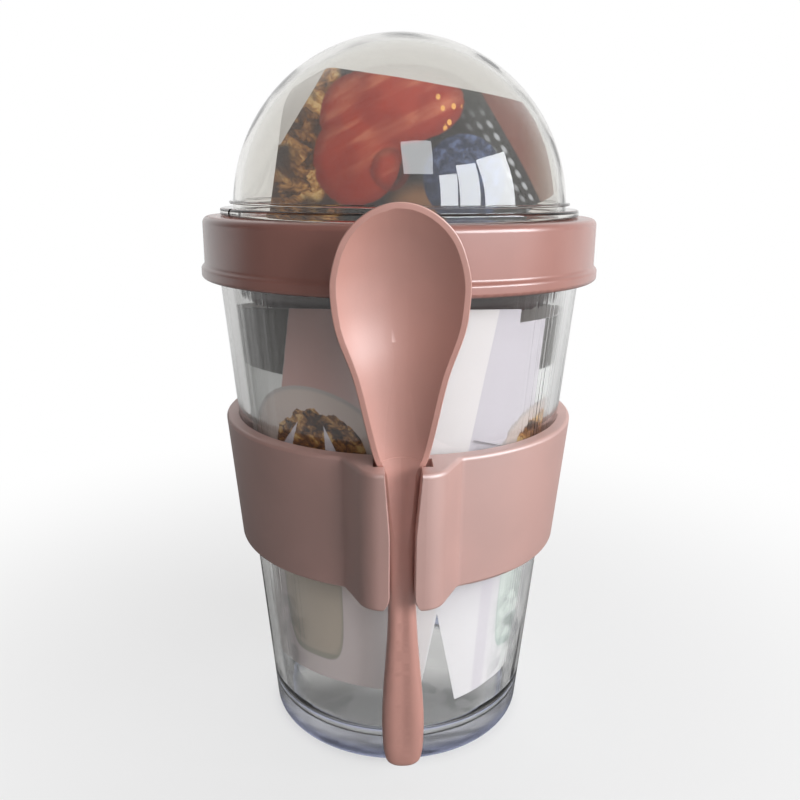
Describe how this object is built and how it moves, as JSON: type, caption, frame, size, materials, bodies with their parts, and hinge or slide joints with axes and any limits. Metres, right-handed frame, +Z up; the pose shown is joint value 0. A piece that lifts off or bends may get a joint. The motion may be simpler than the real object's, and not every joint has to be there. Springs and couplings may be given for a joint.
{
  "type": "yogurt pot",
  "caption": "Clear tapered to-go yogurt cup with a ring lid, a clear domed top, printed cards inside and a soft sleeve that holds a spoon.",
  "frame": {"origin": "centre of the cup's base, on the surface it stands on", "axes": "+Z up along the cup's axis; -Y to the front, where the spoon is; +X to the right as seen from the front"},
  "size_m": [0.1006, 0.1102, 0.1805],
  "materials": {
    "clear_cup": "clear thick-walled plastic, polished",
    "ring_plastic": "dusty pink moulded plastic, satin",
    "clear_dome": "clear thin-walled plastic, polished",
    "sleeve_plastic": "dusty pink soft moulded rubber, matt",
    "spoon_plastic": "dusty pink moulded plastic, satin",
    "cup_print": "coated card, printed on its outer side",
    "dome_print": "coated card, printed on its outer side"
  },
  "bodies": {
    "root": {"cup": "clear_cup", "lid_ring": "ring_plastic", "dome": "clear_dome", "sleeve": "sleeve_plastic", "spoon": "spoon_plastic", "cup_card": "cup_print", "dome_card": "dome_print"}
  },
  "joints": []
}
